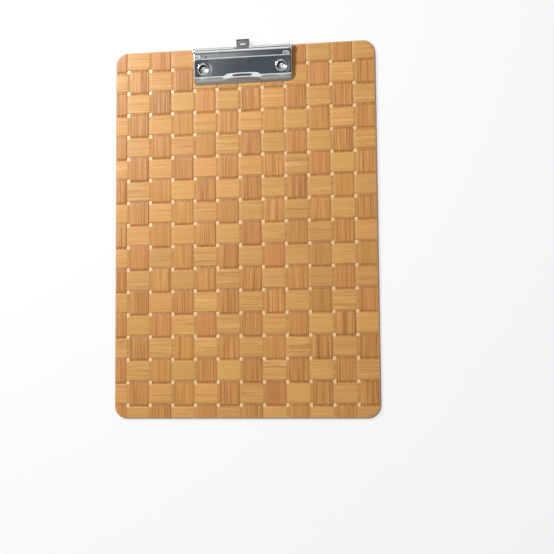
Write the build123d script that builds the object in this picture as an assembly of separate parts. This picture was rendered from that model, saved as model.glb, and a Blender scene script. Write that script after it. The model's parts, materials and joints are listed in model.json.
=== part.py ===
from build123d import *
import math
import os

# A4 clipboard lying on its back.
# Frame: origin at the centre of the board's back face, +X to the right,
# +Y towards the clip, +Z out of the woven front face. Millimetres.

# ---- board ----
BOARD_W = 225.0
BOARD_L = 315.0
BOARD_T = 3.0
CORNER_R = 11.5
EDGE_ROUND = 1.9
BACK_SHEET_T = 0.3
STRIP_T = 0.4
CORE_TOP = BOARD_T - 2 * STRIP_T

# ---- woven face: flat strips over and under each other ----
WARP_COUNT = 12
WEFT_COUNT = 17
WARP_PITCH = 19.5
WEFT_PITCH = 19.1
WARP_W = 17.0
WEFT_W = 16.2
WARP_FIRST_X = -110.71
WEFT_FIRST_Y = 150.1
EDGE_STRIP_MARGIN = 3.0

# ---- clip sheet metal ----
SHEET_T = 0.8
CLIP_HALF_W = 42.5
LIP_TIP_Y = 125.6
CREST_Y = 131.2
CREST_Z = BOARD_T + 4.2
RIDGE_Y = 146.5
RIDGE_Z = BOARD_T + 5.4
BAND_Y = 147.3
BAND_Z = BOARD_T + 4.95
JAW_REST_GAP = 0.1
FLANGE_REST_GAP = 0.3
FRONT_CORNER_R = 2.2

# ---- pressed shapes in the jaw ----
LIFT_BEAD_Y = 129.0
LIFT_BEAD_Z = BOARD_T + 3.1
LIFT_BEAD_R = 1.35
LIFT_BEAD_HALF_L = 12.4
LIFT_HOLLOW_R = 0.65
LIFT_HOLLOW_SHIFT = 0.45
END_BEAD_X = 38.6
END_BEAD_Y = 149.0
END_BEAD_R = 1.5
END_BEAD_HALF_L = 1.7
END_BEAD_DROP = 1.0

# ---- hinge at the rear of the clip ----
PIN_Y = 154.0
PIN_Z = BOARD_T + 3.0
PIN_R = 1.1
PIN_RUNNING_GAP = 0.05
PIN_SEAT_GAP = 0.02
PIN_HEAD_R = 1.7
PIN_HEAD_T = 0.5
PIN_HEAD_GAP = 0.1
PIN_HEAD_ROUND = 0.35
JAW_CLEAR_R = 3.35
EAR_R = 2.7

# ---- base plate with the barrel curled round the pin ----
FLOOR_T = 0.7
BARREL_R = 3.0
BARREL_HALF_W = 40.9
BARREL_END_T = 0.8
CURL_END_DEG = 200.0
FLOOR_FRONT_Y = 131.0
FLOOR_HALF_W = 40.0
FLOOR_CORNER_R = 3.0
FLOOR_WIDE_Y = 147.0

# ---- rivets ----
RIVET_X = 33.7
RIVET_Y = 138.3
RIVET_HEAD_R = 3.25
RIVET_HEAD_T = 1.7
RIVET_HEAD_ROUND = 1.1
RIVET_MOUTH_FLARE = 0.3
RIVET_SHANK_R = 2.0
RIVET_BORE_R = 1.5
RIVET_TAIL_R = 3.2
RIVET_TAIL_T = 0.7
RIVET_TAIL_SINK = 0.1
RIVET_CLEARANCE = 0.1
ACCESS_HOLE_R = 4.0
ACCESS_RIM_R = 4.7
ACCESS_RIM_H = 0.3
ACCESS_DEPTH = 6.0

# ---- springs ----
WIRE_R = 0.4
COIL_R = 1.65
COIL_PITCH = 0.9
COIL_TURNS = 4
LEG_X = 31.4
LEG_HOLE_R = 1.0
LEG_HOLE_Y = 148.3
LEG_KNEE_Y = PIN_Y - 2.9
LEG_NOTCH_HALF_W = 0.9
LEG_NOTCH_TOP = PIN_Z + 0.6
TAIL_L = 0.8
WIRE_JOINT_R = WIRE_R + 0.02

# ---- hanger tab ----
TAB_HALF_W = 5.75
TAB_T = 0.8
TAB_FLOAT = 0.05
TAB_TIP_Y = 163.5
TAB_TAIL_Y = 138.0
TAB_HEAD_HALF_W = 8.0
TAB_HEAD_L = 4.0
TAB_SLOT_L = 5.0
TAB_SLOT_W = 1.5
TAB_SLOT_Y = 159.2
TAB_CORNER_R = 0.9
TAB_CURL_R = 0.5
WINDOW_HALF_W = 6.4
WINDOW_EDGE_Y = 155.2
TAB_HEADROOM = 0.5
GUIDE_FRONT_Y = 144.6
GUIDE_BACK_Y = 149.4
GUIDE_T = 0.8
GUIDE_SIDE_GAP = 0.15
GUIDE_TOP_GAP = 0.1
GUIDE_HOOK = 1.1
GUIDE_ROOT = 0.1


def block(x0, x1, y0, y1, z0, z1):
    """Axis-aligned block between two corners."""
    size = (x1 - x0, y1 - y0, z1 - z0)
    middle = ((x0 + x1) / 2, (y0 + y1) / 2, (z0 + z1) / 2)
    return Pos(*middle) * Box(*size)


def disc(x, y, z0, z1, radius):
    """Upright cylinder between two heights."""
    return Pos(x, y, (z0 + z1) / 2) * Cylinder(radius, z1 - z0)


def rod(x0, x1, radius, y=PIN_Y, z=PIN_Z):
    """Cylinder along X, on the hinge axis unless told otherwise."""
    return Pos((x0 + x1) / 2, y, z) * Rot(0, 90, 0) * Cylinder(radius, x1 - x0)


def board_envelope():
    """The whole board as one block, with its front edge rounded over."""
    body = extrude(RectangleRounded(BOARD_W, BOARD_L, CORNER_R), BOARD_T)
    return fillet(body.edges().group_by(Axis.Z)[-1], EDGE_ROUND)


ENVELOPE = board_envelope()


def board_layer(z0, z1):
    """One flat layer of the board between two heights."""
    return ENVELOPE & block(-BOARD_W, BOARD_W, -BOARD_L, BOARD_L, z0, z1)


def across_x(points, x0, x1):
    """Closed outline given as (y, z), extruded along X from x0 to x1."""
    face = make_face(Polyline([(x0, y, z) for y, z in points], close=True))
    return extrude(face, x1 - x0, dir=(1, 0, 0))


def across_y(points, y0, y1):
    """Closed outline given as (x, z), extruded along Y from y0 to y1."""
    face = make_face(Polyline([(x, y0, z) for x, z in points], close=True))
    return extrude(face, y1 - y0, dir=(0, 1, 0))


# ------------------------------------------------------------------ woven face

def warp_x(i):
    """Centre line of upright strip i, from the left."""
    return WARP_FIRST_X + WARP_PITCH * i


def weft_y(j):
    """Centre line of level strip j, from the top."""
    return WEFT_FIRST_Y - WEFT_PITCH * j


def strip_span(centre, width, limit):
    """Low and high side of a strip, run out to the board's edge if near it."""
    low, high = centre - width / 2, centre + width / 2
    if low < EDGE_STRIP_MARGIN - limit:
        low = -limit
    if high > limit - EDGE_STRIP_MARGIN:
        high = limit
    return low, high


def strip_outline(crossings, crossed_width, limit):
    """Side view of a strip, as a band of even height along a broken line.

    Crossings are (centre, over) pairs. The strip lies on the core where it
    passes below and on the crossed strip where it passes over, and it climbs
    and dives only in the gaps between the crossed strips.
    """
    under = []
    for centre, over in sorted(crossings):
        height = CORE_TOP + (STRIP_T if over else 0.0)
        under.append((centre - crossed_width / 2, height))
        under.append((centre + crossed_width / 2, height))
    under[0] = (-limit, under[0][1])
    under[-1] = (limit, under[-1][1])
    top = [(place, height + STRIP_T) for place, height in under]
    return under + top[::-1]


def warp_strip(i):
    """Upright strip i, over the level strips where i + j is even."""
    crossings = [(weft_y(j), (i + j) % 2 == 0) for j in range(WEFT_COUNT)]
    outline = strip_outline(crossings, WEFT_W, BOARD_L / 2)
    return across_x(outline, *strip_span(warp_x(i), WARP_W, BOARD_W / 2))


def weft_strip(j):
    """Level strip j, over the upright strips where i + j is odd."""
    crossings = [(warp_x(i), (i + j) % 2 == 1) for i in range(WARP_COUNT)]
    outline = strip_outline(crossings, WARP_W, BOARD_W / 2)
    return across_y(outline, *strip_span(weft_y(j), WEFT_W, BOARD_L / 2))


def trimmed_strip(strip):
    """Strip cut to the board's outline and bored for the rivets."""
    strip = strip & ENVELOPE
    for side in (-1, 1):
        strip -= disc(side * RIVET_X, RIVET_Y, 0, BOARD_T + 1, RIVET_SHANK_R + RIVET_CLEARANCE)
    return strip


# ----------------------------------------------------------------------- board

def rivet_holes():
    """Through holes with a sunk seat at the back for the spread tails."""
    cut = None
    for side in (-1, 1):
        x = side * RIVET_X
        hole = disc(x, RIVET_Y, -1, BOARD_T + 2, RIVET_SHANK_R + RIVET_CLEARANCE)
        seat = disc(x, RIVET_Y, -1, RIVET_TAIL_SINK + RIVET_TAIL_T, RIVET_TAIL_R + RIVET_CLEARANCE)
        pair = hole + seat
        cut = pair if cut is None else cut + pair
    return cut


def core_panel():
    return board_layer(BACK_SHEET_T, CORE_TOP) - rivet_holes()


def back_sheet():
    return board_layer(0, BACK_SHEET_T) - rivet_holes()


# ---------------------------------------------------------------- base plate

def barrel_curl():
    """Rear edge of the base plate, curled up and forward over the pin."""
    x0 = -BARREL_HALF_W
    ring = rod(x0, -x0, BARREL_R) - rod(x0 - 1, -x0 + 1, BARREL_R - FLOOR_T)
    # Open the curl between its free end and the floor, at the front below the pin.
    reach = 2 * BARREL_R
    free = math.radians(CURL_END_DEG)
    mouth = [
        (PIN_Y, PIN_Z),
        (PIN_Y + reach * math.cos(free), PIN_Z + reach * math.sin(free)),
        (PIN_Y - reach, PIN_Z - reach),
        (PIN_Y, PIN_Z - reach),
    ]
    return ring - across_x(mouth, x0 - 1, -x0 + 1)


def barrel_ends():
    """Round end walls of the barrel, standing on the floor, that hold the pin."""
    ends = []
    for side in (-1, 1):
        inner = side * (BARREL_HALF_W - BARREL_END_T)
        outer = side * BARREL_HALF_W
        x0, x1 = min(inner, outer), max(inner, outer)
        foot = block(x0, x1, PIN_Y - BARREL_R, PIN_Y, BOARD_T, PIN_Z)
        ends.append(rod(x0, x1, BARREL_R) + foot)
    return ends


def hanger_window():
    """Opening through the back of the barrel for the sliding tab."""
    above = block(
        -WINDOW_HALF_W, WINDOW_HALF_W,
        WINDOW_EDGE_Y, PIN_Y + 2 * BARREL_R,
        BOARD_T - 1, PIN_Z + 2 * BARREL_R,
    )
    below = block(
        -WINDOW_HALF_W, WINDOW_HALF_W,
        PIN_Y, PIN_Y + 2 * BARREL_R,
        BOARD_T + FLOOR_T, BOARD_T + FLOOR_T + TAB_T + TAB_HEADROOM,
    )
    return above + below


def leg_notches():
    """Notches in the curl's free edge for the moving spring legs."""
    notches = []
    for side in (-1, 1):
        x0, x1 = side * LEG_X - LEG_NOTCH_HALF_W, side * LEG_X + LEG_NOTCH_HALF_W
        y0, y1 = PIN_Y - 2 * BARREL_R, PIN_Y - PIN_R
        notches.append(block(x0, x1, y0, y1, BOARD_T + FLOOR_T, LEG_NOTCH_TOP))
    return notches


def tab_guides():
    """Two bent lugs on the floor that hold the hanger tab down at its edges."""
    lugs = []
    floor_top = BOARD_T + FLOOR_T
    tab_top = floor_top + TAB_FLOAT + TAB_T
    hook_low = tab_top + GUIDE_TOP_GAP
    for side in (-1, 1):
        inner = TAB_HALF_W + GUIDE_SIDE_GAP
        wall = sorted((side * inner, side * (inner + GUIDE_T)))
        hook = sorted((side * (TAB_HALF_W - GUIDE_HOOK), side * (inner + GUIDE_T)))
        lug = block(*wall, GUIDE_FRONT_Y, GUIDE_BACK_Y, floor_top - GUIDE_ROOT, hook_low + GUIDE_T)
        lug += block(*hook, GUIDE_FRONT_Y, GUIDE_BACK_Y, hook_low, hook_low + GUIDE_T)
        lugs.append(lug)
    return lugs


def clip_base():
    plate = block(-FLOOR_HALF_W, FLOOR_HALF_W, FLOOR_FRONT_Y, PIN_Y, BOARD_T, BOARD_T + FLOOR_T)
    plate = fillet(plate.edges().filter_by(Axis.Z).group_by(Axis.Y)[0], FLOOR_CORNER_R)
    plate += block(-BARREL_HALF_W, BARREL_HALF_W, FLOOR_WIDE_Y, PIN_Y, BOARD_T, BOARD_T + FLOOR_T)
    for side in (-1, 1):
        x = side * RIVET_X
        plate -= disc(x, RIVET_Y, BOARD_T - 1, BOARD_T + 2, RIVET_SHANK_R + RIVET_CLEARANCE)
    plate += barrel_curl()
    for end in barrel_ends():
        plate += end
    plate -= hanger_window()
    for notch in leg_notches():
        plate -= notch
    for lug in tab_guides():
        plate += lug
    plate -= rod(-CLIP_HALF_W, CLIP_HALF_W, PIN_R + PIN_SEAT_GAP)
    return plate


# ------------------------------------------------------------------ jaw plate

def offset_line(points, distance):
    """Broken line shifted sideways by a distance, with mitred corners."""
    shifted = []
    last = len(points) - 1
    for k, (y, z) in enumerate(points):
        normals = []
        for a, b in ((k - 1, k), (k, k + 1)):
            if a < 0 or b > last:
                continue
            dy = points[b][0] - points[a][0]
            dz = points[b][1] - points[a][1]
            length = math.hypot(dy, dz)
            normals.append((dz / length, -dy / length))
        ny = sum(n[0] for n in normals)
        nz = sum(n[1] for n in normals)
        scale = len(normals) / (ny * ny + nz * nz)
        shifted.append((y + ny * scale * distance, z + nz * scale * distance))
    return shifted


def jaw_sheet():
    """Lip, sloping panel, rear step and flat rear band as one bent sheet."""
    tip_z = BOARD_T + JAW_REST_GAP
    slope = (CREST_Z - tip_z) / (CREST_Y - LIP_TIP_Y)
    start = (LIP_TIP_Y - SHEET_T, tip_z - SHEET_T * slope)
    outer = [start, (CREST_Y, CREST_Z), (RIDGE_Y, RIDGE_Z), (BAND_Y, BAND_Z), (PIN_Y, BAND_Z)]
    inner = offset_line(outer, SHEET_T)
    sheet = across_x(outer + inner[::-1], -CLIP_HALF_W, CLIP_HALF_W)
    # The lip's edge is cut level, so that it meets paper flat.
    sheet -= block(-BOARD_W, BOARD_W, 0, CREST_Y, 0, tip_z)
    # The rear edge follows the barrel with a running gap.
    return sheet - rod(-BOARD_W, BOARD_W, JAW_CLEAR_R)


def jaw_flange(side):
    """Side wall of the jaw with the rounded ear that turns on the pin."""
    low = BOARD_T + FLANGE_REST_GAP
    outline = [
        (LIP_TIP_Y + JAW_REST_GAP, low),
        (CREST_Y, CREST_Z),
        (RIDGE_Y, RIDGE_Z),
        (BAND_Y, BAND_Z),
        (PIN_Y - EAR_R / 2, BAND_Z),
        (PIN_Y, PIN_Z + EAR_R),
        (PIN_Y, PIN_Z),
        (PIN_Y - PIN_R, low),
    ]
    x0, x1 = sorted((side * (CLIP_HALF_W - SHEET_T), side * CLIP_HALF_W))
    return across_x(outline, x0, x1) + rod(x0, x1, EAR_R)


def capsule(x, y, z, half, radius):
    """Bar along X with round ends."""
    bar = rod(x - half, x + half, radius, y, z)
    for side in (-1, 1):
        bar += Pos(x + side * half, y, z) * Sphere(radius)
    return bar


def lift_bead():
    """Raised finger bead in the middle of the lip, and the hollow behind it."""
    bead = capsule(0, LIFT_BEAD_Y, LIFT_BEAD_Z, LIFT_BEAD_HALF_L, LIFT_BEAD_R)
    y, z = LIFT_BEAD_Y + LIFT_HOLLOW_SHIFT, LIFT_BEAD_Z - LIFT_HOLLOW_SHIFT
    return bead, rod(-LIFT_BEAD_HALF_L, LIFT_BEAD_HALF_L, LIFT_HOLLOW_R, y, z)


def end_bead(side):
    """Pressed oval stiffening bead near one end of the rear band."""
    x = side * END_BEAD_X
    bead = capsule(x, END_BEAD_Y, BAND_Z - END_BEAD_DROP, END_BEAD_HALF_L, END_BEAD_R)
    reach = END_BEAD_HALF_L + END_BEAD_R
    return bead - block(x - reach, x + reach, LIP_TIP_Y, PIN_Y, 0, BAND_Z - SHEET_T)


def access_disc(side, below, above, radius):
    """Short cylinder square to the sloping panel, centred over a rivet."""
    tilt = math.atan2(RIDGE_Z - CREST_Z, RIDGE_Y - CREST_Y)
    z = CREST_Z + (RIVET_Y - CREST_Y) * math.tan(tilt)
    middle = Pos(0, 0, (above - below) / 2)
    cylinder = middle * Cylinder(radius, above + below)
    return Pos(side * RIVET_X, RIVET_Y, z) * Rot(math.degrees(tilt), 0, 0) * cylinder


def clip_jaw():
    bead, hollow = lift_bead()
    jaw = jaw_sheet() + bead - hollow
    for side in (-1, 1):
        jaw += jaw_flange(side)
        jaw += end_bead(side)
        jaw += access_disc(side, SHEET_T, ACCESS_RIM_H, ACCESS_RIM_R)
        jaw -= access_disc(side, ACCESS_DEPTH, ACCESS_DEPTH, ACCESS_HOLE_R)
        jaw -= disc(side * LEG_X, LEG_HOLE_Y, BOARD_T, 2 * BAND_Z, LEG_HOLE_R)
    # Rounded front corners in plan, and pin holes through both ears.
    length = 2 * (PIN_Y - LIP_TIP_Y)
    outline = RectangleRounded(2 * CLIP_HALF_W, length, FRONT_CORNER_R)
    jaw &= Pos(0, LIP_TIP_Y + length / 2, 0) * extrude(outline, 2 * RIDGE_Z)
    jaw -= rod(-CLIP_HALF_W - 1, CLIP_HALF_W + 1, PIN_R + PIN_RUNNING_GAP)
    return jaw


# ------------------------------------------------------------- pin and rivets

def hinge_pin():
    """Plain rod with a low peened head outside each jaw ear."""
    head_in = CLIP_HALF_W + PIN_HEAD_GAP
    head_out = head_in + PIN_HEAD_T
    pin = rod(-head_out, head_out, PIN_R)
    for side in (-1, 1):
        x0, x1 = sorted((side * head_in, side * head_out))
        head = rod(x0, x1, PIN_HEAD_R)
        rim = head.edges().filter_by(GeomType.CIRCLE).sort_by(Axis.X)[0 if side < 0 else -1]
        pin += fillet(rim, PIN_HEAD_ROUND)
    return pin


def clip_rivet(side):
    """Tubular rivet: rolled head on the base plate, spread tail in the back."""
    x = side * RIVET_X
    seat = BOARD_T + FLOOR_T
    top = seat + RIVET_HEAD_T
    head = disc(x, RIVET_Y, seat, top, RIVET_HEAD_R)
    head = fillet(head.edges().filter_by(GeomType.CIRCLE).group_by(Axis.Z)[-1], RIVET_HEAD_ROUND)
    rivet = head + disc(x, RIVET_Y, RIVET_TAIL_SINK, seat, RIVET_SHANK_R)
    rivet += disc(x, RIVET_Y, RIVET_TAIL_SINK, RIVET_TAIL_SINK + RIVET_TAIL_T, RIVET_TAIL_R)
    rivet -= disc(x, RIVET_Y, -1, top + 1, RIVET_BORE_R)
    wide = RIVET_BORE_R + RIVET_MOUTH_FLARE
    mouth = Pos(x, RIVET_Y, top) * Cone(RIVET_BORE_R - RIVET_MOUTH_FLARE, wide, 2 * RIVET_MOUTH_FLARE)
    return rivet - mouth


# --------------------------------------------------------------------- springs

def segment(start, end, radius=WIRE_R):
    """Round wire between two points, with rounded ends."""
    line = Line(start, end)
    profile = Plane(origin=start, z_dir=line % 0) * Circle(radius)
    return sweep(profile, line) + Pos(*end) * Sphere(radius)


def torsion_spring(side):
    """Coil on the pin, with a short tail that bears on the barrel's inner wall
    and a cranked leg that runs out under the curl and hooks through the jaw."""
    length = COIL_PITCH * COIL_TURNS
    x_tail = side * (LEG_X - length)
    x_leg = side * LEG_X
    coil_z = PIN_Z - COIL_R
    turn = 0 if side > 0 else 180
    helix = Helix(COIL_PITCH, length, COIL_R, lefthand=side > 0)
    path = Pos(x_tail, PIN_Y, PIN_Z) * Rot(0, side * 90, 0) * Rot(0, 0, turn) * helix
    profile = Plane(origin=path @ 0, z_dir=path % 0) * Circle(WIRE_R)
    spring = sweep(profile, path, is_frenet=True)
    spring += Pos(x_tail, PIN_Y, coil_z) * Sphere(WIRE_JOINT_R)
    spring += segment((x_tail, PIN_Y, coil_z), (x_tail, PIN_Y + TAIL_L, coil_z))
    knee = (x_leg, LEG_KNEE_Y, coil_z)
    under = (x_leg, LEG_HOLE_Y, BAND_Z - SHEET_T - WIRE_R)
    tip = (x_leg, LEG_HOLE_Y, BAND_Z)
    spring += Pos(x_leg, PIN_Y, coil_z) * Sphere(WIRE_JOINT_R)
    spring += segment((x_leg, PIN_Y, coil_z), knee)
    spring += segment(knee, under)
    spring += segment(under, tip)
    return spring


# -------------------------------------------------------------- hanger tab

def hanger_tab():
    """Sliding tab with a hanging slot, a wide inner end and an upturned lip."""
    low = BOARD_T + FLOOR_T + TAB_FLOAT
    tab = block(-TAB_HALF_W, TAB_HALF_W, TAB_TAIL_Y, TAB_TIP_Y, low, low + TAB_T)
    tab = fillet(tab.edges().filter_by(Axis.Z).group_by(Axis.Y)[-1], TAB_CORNER_R)
    tab += block(-TAB_HEAD_HALF_W, TAB_HEAD_HALF_W, TAB_TAIL_Y, TAB_TAIL_Y + TAB_HEAD_L, low, low + TAB_T)
    tab -= Pos(0, TAB_SLOT_Y, low) * extrude(SlotOverall(TAB_SLOT_L, TAB_SLOT_W), TAB_T)
    half = TAB_HALF_W - TAB_CORNER_R
    return tab + rod(-half, half, TAB_CURL_R, TAB_TIP_Y - TAB_CURL_R, low + TAB_T)


# ----------------------------------------------------------------- all pieces

def one_solid(shape):
    """The single solid of a shape."""
    solids = shape.solids()
    assert len(solids) == 1
    return solids[0]


pieces = {
    "core_panel": core_panel(),
    "back_sheet": back_sheet(),
    "clip_base": clip_base(),
    "clip_jaw": clip_jaw(),
    "hinge_pin": hinge_pin(),
    "torsion_spring_left": torsion_spring(-1),
    "torsion_spring_right": torsion_spring(1),
    "hanger_tab": hanger_tab(),
}
for i in range(WARP_COUNT):
    pieces[f"warp_strip_{i + 1:02d}"] = trimmed_strip(warp_strip(i))
for j in range(WEFT_COUNT):
    pieces[f"weft_strip_{j + 1:02d}"] = trimmed_strip(weft_strip(j))

os.makedirs("parts", exist_ok=True)
for name, shape in pieces.items():
    export_step(one_solid(shape), f"parts/{name}.step")

rivets = Compound(children=[one_solid(clip_rivet(side)) for side in (-1, 1)])
export_step(rivets, "parts/clip_rivets.step")
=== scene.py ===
import json
import math

import bmesh
import bpy
from mathutils import Matrix, Vector


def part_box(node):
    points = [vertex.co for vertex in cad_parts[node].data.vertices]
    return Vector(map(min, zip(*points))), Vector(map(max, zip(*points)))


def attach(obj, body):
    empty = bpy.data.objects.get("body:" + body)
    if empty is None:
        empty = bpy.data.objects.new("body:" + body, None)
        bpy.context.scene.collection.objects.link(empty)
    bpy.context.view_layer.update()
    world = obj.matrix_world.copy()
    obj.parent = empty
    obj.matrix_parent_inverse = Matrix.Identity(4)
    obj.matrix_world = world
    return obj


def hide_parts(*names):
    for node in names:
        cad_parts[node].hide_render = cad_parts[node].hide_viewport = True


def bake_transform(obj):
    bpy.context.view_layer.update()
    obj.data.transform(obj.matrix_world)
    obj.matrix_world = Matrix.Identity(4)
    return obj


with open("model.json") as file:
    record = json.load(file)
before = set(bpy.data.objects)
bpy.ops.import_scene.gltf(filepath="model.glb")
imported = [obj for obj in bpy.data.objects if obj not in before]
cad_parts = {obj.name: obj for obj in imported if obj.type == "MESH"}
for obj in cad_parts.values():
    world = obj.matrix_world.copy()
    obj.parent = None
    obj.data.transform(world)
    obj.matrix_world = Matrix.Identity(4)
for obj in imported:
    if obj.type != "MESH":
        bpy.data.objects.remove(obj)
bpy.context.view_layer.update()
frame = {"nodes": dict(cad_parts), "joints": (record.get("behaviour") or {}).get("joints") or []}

# Lengths below are millimetres in the CAD's own frame, and MM turns them into metres.
# Its origin is the centre of the board's back, +Y runs to the clip, +Z out of the front.
MM = 0.001


# ------------------------------------------------------------------ the frame

def span(node):
    """Lowest and highest corner of a CAD node, in millimetres."""
    low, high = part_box(node)
    return low / MM, high / MM


WARPS = sorted(name for name in frame["nodes"] if name.startswith("warp_strip"))
WEFTS = sorted(name for name in frame["nodes"] if name.startswith("weft_strip"))
CORE_HIGH = span("core_panel")[1]
BASE_LOW, BASE_HIGH = span("clip_base")
JAW_LOW, JAW_HIGH = span("clip_jaw")
TAB_LOW, TAB_HIGH = span("hanger_tab")
RIVETS_LOW, RIVETS_HIGH = span("clip_rivets")
SPRING_LOW, SPRING_HIGH = span("torsion_spring_right")

HALF_W = CORE_HIGH.x
HALF_L = CORE_HIGH.y
CORE_TOP = CORE_HIGH.z
FRONT = BASE_LOW.z
STRIP_T = (FRONT - CORE_TOP) / 2
CORNER_R = 11.5
EDGE_ROUND = 1.9

HINGE = next(joint for joint in frame["joints"] if joint["name"] == "jaw_hinge")
PIN_Y = HINGE["pos_m"][1] / MM
PIN_Z = HINGE["pos_m"][2] / MM

# ---- clip, measured from its lip's edge, its hinge and the strips' top ----
SHEET_T = 0.8
CLIP_HALF_W = JAW_HIGH.x
LIP_Y = JAW_LOW.y
LIP_Z = JAW_LOW.z
CREST_Y = LIP_Y + 5.6
CREST_Z = FRONT + 4.2
RIDGE_Y = LIP_Y + 20.9
RIDGE_Z = FRONT + 5.4
BAND_Y = LIP_Y + 21.5
BAND_Z = FRONT + 4.95
JAW_CLEAR_R = 3.35  # room that the jaw leaves around the pin for the barrel
EAR_R = 2.7
EAR_HOLE_R = 1.15
BARREL_R = PIN_Z - FRONT
FLOOR_T = 0.7
RIVET_HEAD_R = 3.25
RIVET_X = (RIVETS_HIGH.x - RIVETS_LOW.x) / 2 - RIVET_HEAD_R
RIVET_Y = (RIVETS_LOW.y + RIVETS_HIGH.y) / 2
WIRE_R = 0.4
LEG_X = SPRING_HIGH.x - WIRE_R
LEG_HOLE_Y = SPRING_LOW.y + WIRE_R
LEG_HOLE_R = 1.0
LEG_NOTCH_HALF_W = 0.9
PAST_CLIP = 60.0


# ------------------------------------------------------------------ mesh tools

def new_object(name, verts, faces, body=None, smooth_angle=35.0):
    """Mesh object from millimetre points, smooth apart from its sharp edges."""
    mesh = bpy.data.meshes.new(name)
    mesh.from_pydata([(x * MM, y * MM, z * MM) for x, y, z in verts], [], faces)
    mesh.validate()
    obj = bpy.data.objects.new(name, mesh)
    bpy.context.scene.collection.objects.link(obj)
    clean(obj, smooth_angle)
    if body:
        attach(obj, body)
    return obj


def clean(obj, smooth_angle):
    """Merge doubles, drop empty faces, face outwards, and set smooth shading."""
    work = bmesh.new()
    work.from_mesh(obj.data)
    bmesh.ops.remove_doubles(work, verts=work.verts, dist=0.002 * MM)
    bmesh.ops.dissolve_degenerate(work, edges=work.edges, dist=0.001 * MM)
    bmesh.ops.recalc_face_normals(work, faces=work.faces)
    for edge in work.edges:
        shared = len(edge.link_faces) == 2
        edge.smooth = shared and edge.calc_face_angle(0.0) < math.radians(smooth_angle)
    for face in work.faces:
        face.smooth = True
    work.to_mesh(obj.data)
    work.free()


def apply_modifiers(obj):
    """Bake the modifier stack into the mesh."""
    bpy.context.view_layer.update()
    evaluated = obj.evaluated_get(bpy.context.evaluated_depsgraph_get())
    mesh = bpy.data.meshes.new_from_object(evaluated)
    obj.modifiers.clear()
    obj.data = mesh


def thicken(obj, thickness):
    """Give an open sheet its thickness, inwards."""
    solid = obj.modifiers.new("sheet", "SOLIDIFY")
    solid.thickness = thickness * MM
    solid.offset = -1.0
    solid.use_even_offset = True
    solid.use_quality_normals = True
    apply_modifiers(obj)


def bevel(obj, width, segments=2, angle=35.0):
    """Round the sharp edges of a finished shape."""
    rounded = obj.modifiers.new("round", "BEVEL")
    rounded.width = width * MM
    rounded.segments = segments
    rounded.limit_method = "ANGLE"
    rounded.angle_limit = math.radians(angle)
    rounded.harden_normals = False
    apply_modifiers(obj)


def cut(obj, *cutters):
    """Take the cutters' volumes out of an object, and discard them."""
    for cutter in cutters:
        boolean = obj.modifiers.new("cut", "BOOLEAN")
        boolean.operation = "DIFFERENCE"
        boolean.solver = "EXACT"
        boolean.object = cutter
        apply_modifiers(obj)
        bpy.data.objects.remove(cutter)


def join(name, parts, body, smooth_angle=35.0):
    """One object from several, riding on a body."""
    verts = []
    faces = []
    for part in parts:
        start = len(verts)
        verts += [tuple(part.matrix_world @ v.co / MM) for v in part.data.vertices]
        faces += [tuple(start + k for k in face.vertices) for face in part.data.polygons]
        bpy.data.objects.remove(part)
    return new_object(name, verts, faces, body, smooth_angle)


def grid_faces(rows, columns):
    """Quads of a grid of points stored row by row."""
    faces = []
    for r in range(rows - 1):
        for c in range(columns - 1):
            corner = r * columns + c
            faces.append((corner, corner + 1, corner + columns + 1, corner + columns))
    return faces


def revolve(name, profile, x, y, segments=64):
    """Ring turned about an upright axis from a closed (radius, height) outline."""
    verts = []
    faces = []
    count = len(profile)
    for k in range(segments):
        turn = 2 * math.pi * k / segments
        for radius, z in profile:
            verts.append((x + radius * math.cos(turn), y + radius * math.sin(turn), z))
    for k in range(segments):
        after = (k + 1) % segments
        for p in range(count):
            q = (p + 1) % count
            faces.append((k * count + p, after * count + p, after * count + q, k * count + q))
    return new_object(name, verts, faces)


def solid_between(name, first, second):
    """Closed straight-sided solid between two matching rings of points."""
    count = len(first)
    faces = [tuple(range(count)), tuple(range(2 * count - 1, count - 1, -1))]
    for k in range(count):
        after = (k + 1) % count
        faces.append((k, after, count + after, count + k))
    return new_object(name, first + second, faces)


def prism_x(name, outline, x0, x1):
    """Closed (y, z) outline extruded along X."""
    return solid_between(name, [(x0, y, z) for y, z in outline], [(x1, y, z) for y, z in outline])


def prism_z(name, outline, z0, z1):
    """Closed (x, y) outline extruded along Z."""
    return solid_between(name, [(x, y, z0) for x, y in outline], [(x, y, z1) for x, y in outline])


def bar(name, x0, x1, y, z, radius, segments=48):
    """Round bar along X."""
    outline = []
    for k in range(segments):
        turn = 2 * math.pi * k / segments
        outline.append((y + radius * math.cos(turn), z + radius * math.sin(turn)))
    return prism_x(name, outline, x0, x1)


def block(name, x0, x1, y0, y1, z0, z1):
    """Axis-aligned block, for cutting and for folded lugs."""
    return prism_x(name, [(y0, z0), (y1, z0), (y1, z1), (y0, z1)], x0, x1)


def upright_rod(name, x, y, z0, z1, radius, tilt=0.0, segments=96):
    """Upright round cutter, tilted about X where asked."""
    lean = Matrix.Rotation(tilt, 3, "X")
    rings = ([], [])
    for ring, z in zip(rings, (z0, z1)):
        for k in range(segments):
            turn = 2 * math.pi * k / segments
            point = lean @ Vector((radius * math.cos(turn), radius * math.sin(turn), z))
            ring.append((x + point.x, y + point.y, point.z))
    return solid_between(name, *rings)


def stadium(name, y, half, radius, z0, z1):
    """Long round-ended cutter lying across the middle line."""
    outline = []
    for k in range(33):
        turn = math.radians(-90 + 360 * k / 32)
        centre = half if k <= 16 else -half
        outline.append((centre + radius * math.cos(turn), y + radius * math.sin(turn)))
        if k == 16:
            outline.append((-half, y + radius))
    return prism_z(name, outline, z0, z1)


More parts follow.
